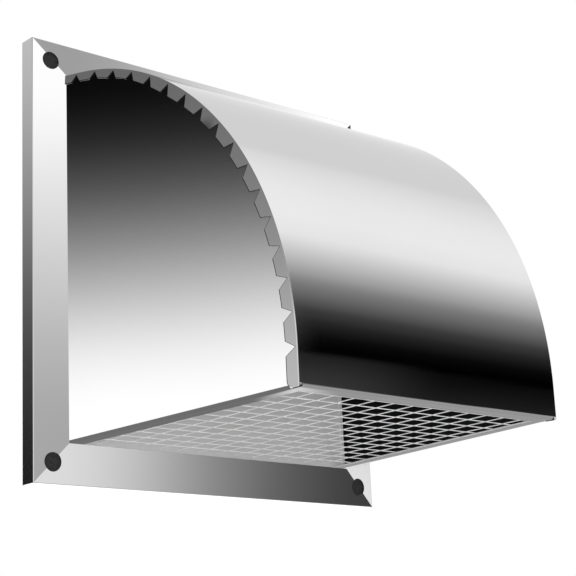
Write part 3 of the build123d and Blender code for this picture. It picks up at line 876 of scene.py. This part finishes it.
# Reflection cards: curved sheets far round the object that only reflections see. Each is a patch of a sphere
# whose brightness follows its level: the elevation, the azimuth, or the rise, which is the angle about the
# object's crosswise axis. Each patch fades out along its borders by the degrees of its fade (two azimuth
# ends, foot, head). A card with a smaller radius lies in front of the others.
cards = {
    "cheekCard": {
        "azimuth": (-36.8, -51.0), "lean": (0.0, 0.12), "elevation": (1.0, 24.2),
        "fade": (0.6, 0.6, 1.5, 0.6), "level": "elevation", "levelLean": 0.06,
        "tones": [(1, 1.62), (11, 1.6), (12.5, 1.44), (14, 1.08), (16, 0.59), (18, 0.235), (20, 0.055),
                  (22, 0.004), (25, 0.004)]},
    "tabCard": {
        "azimuth": (-36.0, -62.0), "elevation": (1.0, 48.0), "fade": (0.6, 2.0, 3.0, 12.0),
        "level": "elevation", "radius": 14.2,
        "tones": [(1, 0.80), (11.5, 0.74), (12.7, 0.68), (15.3, 0.55), (16.6, 0.483), (18.2, 0.41),
                  (19.5, 0.36), (21.2, 0.305), (25, 0.235), (27.8, 0.19), (48, 0.18)]},
    "edgeCard": {
        "azimuth": (-22.0, -37.4), "elevation": (3.5, 34.0), "fade": (3.0, 0.6, 0.5, 6.0),
        "level": "elevation", "radius": 13.8,
        "tones": [(0, 0.018), (9, 0.022), (12.4, 0.08), (15, 0.178), (18, 0.365), (21, 0.59),
                  (24, 0.80), (34, 1.0)]},
    "hoodCard": {
        "azimuth": (80.0, 139.8), "lean": (0.0, -0.25), "elevation": (5.5, 62.0),
        "fade": (8.0, 1.0, 0.6, 6.0), "level": "rise", "radius": 13.8,
        "tones": [(5, 0.06), (13, 0.04), (14.6, 0.02), (15.8, 0.001), (17, 0), (22, 0.004), (26, 0.022),
                  (31, 0.07), (40, 0.32), (49, 0.79), (58, 1.22), (66, 1.29), (76, 1.27), (85, 1.19),
                  (95, 1.06), (104, 1.01), (120, 1.0)]},
    "bandCard": {
        "azimuth": (133.5, 139.8), "lean": (0.0, -0.25), "elevation": (10.0, 13.1),
        "fade": (5.5, 1.0, 0.8, 2.6), "level": "elevation", "radius": 13.75,
        "tones": [(10, 0.064), (14, 0.064)]},
    "topCard": {
        "azimuth": (138.0, 154.0), "elevation": (24.5, 38.0), "fade": (0.8, 1.5, 1.5, 4.0),
        "level": "azimuth", "radius": 13.9,
        "tones": [(138, 1.78), (139.4, 1.68), (142.3, 1.22), (144, 1.10), (146, 0.87), (147.3, 0.64),
                  (149.4, 0.53), (151.5, 0.53)]},
    "rightCard": {
        "azimuth": (120.0, 131.5), "elevation": (-3.0, 8.9), "fade": (2.0, 1.0, 2.0, 0.4),
        "level": "elevation", "radius": 13.7, "tones": [(-3, 1.17), (9, 1.17)]},
    "leftCard": {
        "azimuth": (149.0, 164.0), "elevation": (5.0, 28.0), "fade": (1.5, 3.0, 3.0, 3.0),
        "level": "elevation",
        "tones": [(5, 0.55), (10.3, 0.60), (13, 0.73), (16, 0.96), (19, 1.23), (22, 1.52), (28, 1.6)]},
    "footCard": {
        "azimuth": (132.5, 152.0), "elevation": (-12.0, 10.0), "fade": (1.5, 3.0, 4.0, 2.0),
        "level": "azimuth",
        "tones": [(132, 0.06), (137, 0.07), (139.7, 0.18), (142.5, 0.43), (145.3, 0.86), (147, 1.11),
                  (152, 1.12)]},
    "lipCard": {
        "azimuth": (-62.0, 41.7), "elevation": (-80.0, -6.2), "fade": (4.0, 0.3, 3.0, 0.6),
        "level": "elevation", "radius": 14.3, "tones": [(-80, 0.235), (0, 0.235)]},
    "foldCard": {
        "azimuth": (-62.0, 10.0), "elevation": (-10.0, 3.0), "fade": (4.0, 3.0, 1.0, 0.6),
        "level": "elevation", "radius": 14.3, "tones": [(-10, 0.235), (3, 0.235)]},
    "frontLipCard": {
        "azimuth": (41.6, 146.0), "elevation": (-80.0, -6.2), "fade": (0.3, 6.0, 3.0, 0.6),
        "level": "elevation", "radius": 14.3, "tones": [(-80, 0.455), (0, 0.455)]},
    "frontFoldCard": {
        "azimuth": (70.0, 142.0), "elevation": (-10.0, 6.4), "fade": (6.0, 3.0, 1.0, 0.6),
        "level": "elevation", "radius": 14.3, "tones": [(-10, 0.455), (6, 0.455)]},
    "underCard": {
        "azimuth": (20.0, 56.0), "elevation": (-3.0, 14.0), "fade": (3.0, 3.0, 1.0, 3.0),
        "level": "elevation", "tones": [(-3, 1.6), (14, 1.6)]},
    "skyCard": {
        "azimuth": (42.0, -203.0), "elevation": (20.0, 84.0), "fade": (4.0, 6.0, 6.0, 3.0),
        "level": "elevation", "radius": 14.4, "tones": [(20, 0.3), (84, 0.25)]},
}
leanFrom = 15.0                               # elevation where a leaning azimuth end has its given azimuth
levelMiddle = -46.7                           # azimuth where a leaning level is the plain elevation
cardSteps = 65
cardFlags = ("visible_camera", "visible_diffuse", "visible_transmission", "visible_volume_scatter",
             "visible_shadow")


def smoothStep(share):
    # three times the square less twice the cube, so it starts and ends level
    share = np.clip(share, 0, 1)
    return share * share * (3 - 2 * share)


def cardGlow(name):
    # light of the strength "tone" where "cover" is 1, and see-through where it is 0
    material = bpy.data.materials.new(name)
    material.use_nodes = True
    tree = material.node_tree
    tree.nodes.clear()
    tone = addNode(tree, "ShaderNodeAttribute", attribute_name="tone")
    cover = addNode(tree, "ShaderNodeAttribute", attribute_name="cover")
    glow = addNode(tree, "ShaderNodeEmission")
    clear = addNode(tree, "ShaderNodeBsdfTransparent")
    mix = addNode(tree, "ShaderNodeMixShader")
    output = addNode(tree, "ShaderNodeOutputMaterial")
    tree.links.new(tone.outputs["Fac"], glow.inputs["Strength"])
    tree.links.new(cover.outputs["Fac"], mix.inputs["Fac"])
    tree.links.new(clear.outputs["BSDF"], mix.inputs[1])
    tree.links.new(glow.outputs["Emission"], mix.inputs[2])
    tree.links.new(mix.outputs["Shader"], output.inputs["Surface"])
    return material


def cardPatch(name, azimuth, elevation, fade, level, tones, lean=(0.0, 0.0), levelLean=0.0, radius=14.0):
    # a point at azimuth a and elevation e lies at radius times (sin a cos e, cos a cos e, sin e); both
    # azimuth ends may lean, by degrees of azimuth for each degree of elevation
    e = np.linspace(*elevation, cardSteps)[:, None]
    ends = [end + slope * (e - leanFrom) for end, slope in zip(azimuth, lean)]
    a = ends[0] + (ends[1] - ends[0]) * np.linspace(0, 1, cardSteps)[None, :]
    flat = np.cos(np.radians(e))
    points = np.stack([np.sin(np.radians(a)) * flat, np.cos(np.radians(a)) * flat,
                       np.sin(np.radians(e)) + 0 * a], -1)
    mesh = bpy.data.meshes.new(name)
    quads = gridQuads(np.arange(cardSteps * cardSteps).reshape(cardSteps, cardSteps))
    mesh.from_pydata((radius * points).reshape(-1, 3).tolist(), [], quads.tolist())
    levels = {"elevation": e + levelLean * (a - levelMiddle), "azimuth": a,
              "rise": np.degrees(np.arctan2(points[..., 2], -points[..., 1]))}[level]
    # the tone at a level is the mean over a degree on each side, so the brightness has no corners
    heights, values = np.array(tones).T
    tone = np.mean([np.interp(levels + shift, heights, values) for shift in np.linspace(-1, 1, 9)], 0)
    cover = smoothStep(np.abs(a - ends[0]) / fade[0]) * smoothStep(np.abs(a - ends[1]) / fade[1]) \
        * smoothStep((e - elevation[0]) / fade[2]) * smoothStep((elevation[1] - e) / fade[3])
    for layerName, layerValues in (("tone", tone), ("cover", cover)):
        layer = mesh.attributes.new(layerName, "FLOAT", "POINT")
        layer.data.foreach_set("value", layerValues.ravel().astype(np.float32))
    card = addObject(name, mesh)
    for flag in cardFlags:
        setattr(card, flag, False)
    mesh.materials.append(cardGlow(name))


for cardName, values in cards.items():
    cardPatch(cardName, **values)
print("studio made")

# the camera: position in metres, angles in radians, lens and sensor in millimetres
view = {
    "position": (-0.54593, -0.69458, -0.24015), "azimuth": -0.7223, "elevation": 0.2628, "roll": -0.0446,
    "lens": 102.07, "sensor": 36.0, "clipEnd": 60.0,
}
flatShare = cos(view["elevation"])
ahead = Vector((-sin(view["azimuth"]) * flatShare, cos(view["azimuth"]) * flatShare, sin(view["elevation"])))
rightward = ahead.cross(Vector((0, 0, 1))).normalized()
upward = rightward.cross(ahead)
rolledRight = rightward * cos(view["roll"]) + upward * sin(view["roll"])
rolledUp = upward * cos(view["roll"]) - rightward * sin(view["roll"])
cameraData = bpy.data.cameras.new("camera")
cameraData.lens = view["lens"]
cameraData.sensor_width = view["sensor"]
cameraData.clip_end = view["clipEnd"]
camera = addObject("camera", cameraData)
turned = Matrix((rolledRight, rolledUp, -ahead)).transposed().to_4x4()
camera.matrix_world = Matrix.Translation(view["position"]) @ turned
scene.camera = camera
scene.view_settings.view_transform = "Standard"
